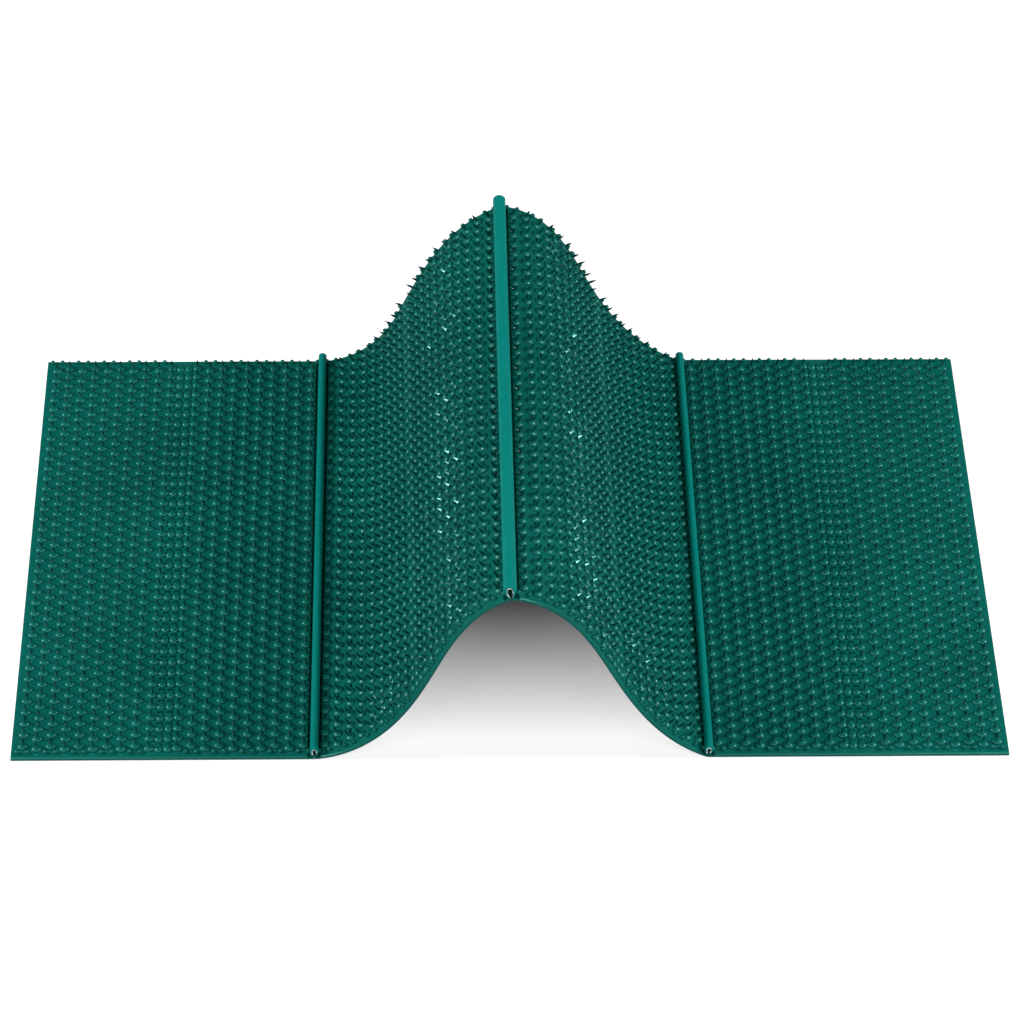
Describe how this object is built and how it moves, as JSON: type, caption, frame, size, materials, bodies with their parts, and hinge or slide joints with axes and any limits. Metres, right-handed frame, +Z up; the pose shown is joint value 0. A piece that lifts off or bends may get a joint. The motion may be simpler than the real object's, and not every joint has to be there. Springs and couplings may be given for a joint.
{
  "type": "folding acupressure needle mat",
  "caption": "Folding plastic massage mat of needle-covered panels joined by slide-on profiles, standing on the floor with its middle arched into a hump.",
  "frame": {"origin": "on the floor, at the middle of the whole mat's length and width", "axes": "+X along the row of panels to the viewer's right, +Y away from the viewer across the mat, +Z up"},
  "size_m": [0.7418, 0.4588, 0.1735],
  "materials": {
    "panel": "moulded green polyethylene, satin gloss",
    "profile": "extruded teal plastic, satin gloss"
  },
  "bodies": {
    "left_joint": {"left_joint_profile": "profile", "left_end_panel_bead_edge": "panel", "left_slope_panel_foot_bead_edge": "panel"},
    "left_end_strip": {"left_end_panel_hinge_strip": "panel"},
    "left_end": {"left_end_panel": "panel"},
    "left_slope_1": {"left_slope_panel_strip_1": "panel"},
    "left_slope_2": {"left_slope_panel_strip_2": "panel"},
    "left_slope_3": {"left_slope_panel_strip_3": "panel"},
    "left_slope_4": {"left_slope_panel_strip_4": "panel"},
    "ridge_joint": {"ridge_joint_profile": "profile", "left_slope_panel_ridge_bead_edge": "panel", "right_slope_panel_ridge_bead_edge": "panel"},
    "right_slope_5": {"right_slope_panel_strip_5": "panel"},
    "right_slope_4": {"right_slope_panel_strip_4": "panel"},
    "right_slope_3": {"right_slope_panel_strip_3": "panel"},
    "right_slope_2": {"right_slope_panel_strip_2": "panel"},
    "right_slope_1": {"right_slope_panel_strip_1": "panel"},
    "right_joint": {"right_joint_profile": "profile", "right_slope_panel_foot_bead_edge": "panel", "right_end_panel_bead_edge": "panel"},
    "right_end_strip": {"right_end_panel_hinge_strip": "panel"},
    "right_end": {"right_end_panel": "panel"}
  },
  "joints": [
    {"name": "hump_fold", "type": "hinge", "parent": "left_joint", "child": "left_slope_1", "pos_m": [-0.13309, 0, 0.00362], "axis": [0, 1, 0], "range_deg": [-6.76, 27.03]},
    {"name": "left_bend_1_2", "type": "hinge", "parent": "left_slope_1", "child": "left_slope_2", "pos_m": [-0.10591, 0, 0.01778], "axis": [0, 1, 0], "range_deg": [-5.79, 21.64]},
    {"name": "left_bend_2_3", "type": "hinge", "parent": "left_slope_2", "child": "left_slope_3", "pos_m": [-0.07875, 0, 0.04868], "axis": [0, 1, 0], "range_deg": [-4.01, 14.54]},
    {"name": "left_bend_3_4", "type": "hinge", "parent": "left_slope_3", "child": "left_slope_4", "pos_m": [-0.03578, 0, 0.13193], "axis": [0, 1, 0], "range_deg": [-17.14, 4.66]},
    {"name": "left_ridge_bend", "type": "hinge", "parent": "left_slope_4", "child": "ridge_joint", "pos_m": [-0.01386, 0, 0.15469], "axis": [0, 1, 0], "range_deg": [-37.56, 9.77]},
    {"name": "right_ridge_bend", "type": "hinge", "parent": "ridge_joint", "child": "right_slope_5", "pos_m": [0.01205, 0, 0.15835], "axis": [0, 1, 0], "range_deg": [-42.5, 11]},
    {"name": "right_bend_5_4", "type": "hinge", "parent": "right_slope_5", "child": "right_slope_4", "pos_m": [0.03856, 0, 0.14114], "axis": [0, 1, 0], "range_deg": [-22.17, 5.92]},
    {"name": "right_bend_4_3", "type": "hinge", "parent": "right_slope_4", "child": "right_slope_3", "pos_m": [0.06284, 0, 0.10689], "axis": [0, 1, 0], "range_deg": [-8.08, 2.4]},
    {"name": "right_bend_3_2", "type": "hinge", "parent": "right_slope_3", "child": "right_slope_2", "pos_m": [0.08703, 0, 0.06091], "axis": [0, 1, 0], "range_deg": [-2.46, 8.33]},
    {"name": "right_bend_2_1", "type": "hinge", "parent": "right_slope_2", "child": "right_slope_1", "pos_m": [0.11112, 0, 0.02724], "axis": [0, 1, 0], "range_deg": [-4.08, 14.81]},
    {"name": "right_foot_bend", "type": "hinge", "parent": "right_slope_1", "child": "right_joint", "pos_m": [0.13474, 0, 0.00734], "axis": [0, 1, 0], "range_deg": [-10.65, 41.11]},
    {"name": "left_end_fold", "type": "hinge", "parent": "left_joint", "child": "left_end_strip", "pos_m": [-0.15935, 0, 0.00125], "axis": [0, 1, 0], "range_deg": [0, 38]},
    {"name": "left_end_bend", "type": "hinge", "parent": "left_end_strip", "child": "left_end", "pos_m": [-0.19067, 0, 0.00125], "axis": [0, 1, 0], "range_deg": [0, 38]},
    {"name": "right_end_fold", "type": "hinge", "parent": "right_joint", "child": "right_end_strip", "pos_m": [0.15935, 0, 0.00125], "axis": [0, -1, 0], "range_deg": [0, 38]},
    {"name": "right_end_bend", "type": "hinge", "parent": "right_end_strip", "child": "right_end", "pos_m": [0.19067, 0, 0.00125], "axis": [0, -1, 0], "range_deg": [0, 38]}
  ],
  "couplings": [
    {"joint": "left_bend_1_2", "follows": "hump_fold", "ratio": 0.78209},
    {"joint": "left_bend_2_3", "follows": "hump_fold", "ratio": 0.51923},
    {"joint": "left_bend_3_4", "follows": "hump_fold", "ratio": -0.61563},
    {"joint": "left_ridge_bend", "follows": "hump_fold", "ratio": -1.3712},
    {"joint": "right_ridge_bend", "follows": "hump_fold", "ratio": -1.5538},
    {"joint": "right_bend_5_4", "follows": "hump_fold", "ratio": -0.80163},
    {"joint": "right_bend_4_3", "follows": "hump_fold", "ratio": -0.28059},
    {"joint": "right_bend_3_2", "follows": "hump_fold", "ratio": 0.28952},
    {"joint": "right_bend_2_1", "follows": "hump_fold", "ratio": 0.52953},
    {"joint": "right_foot_bend", "follows": "hump_fold", "ratio": 1.5025},
    {"joint": "left_end_bend", "follows": "left_end_fold", "ratio": 1},
    {"joint": "right_end_bend", "follows": "right_end_fold", "ratio": 1}
  ]
}
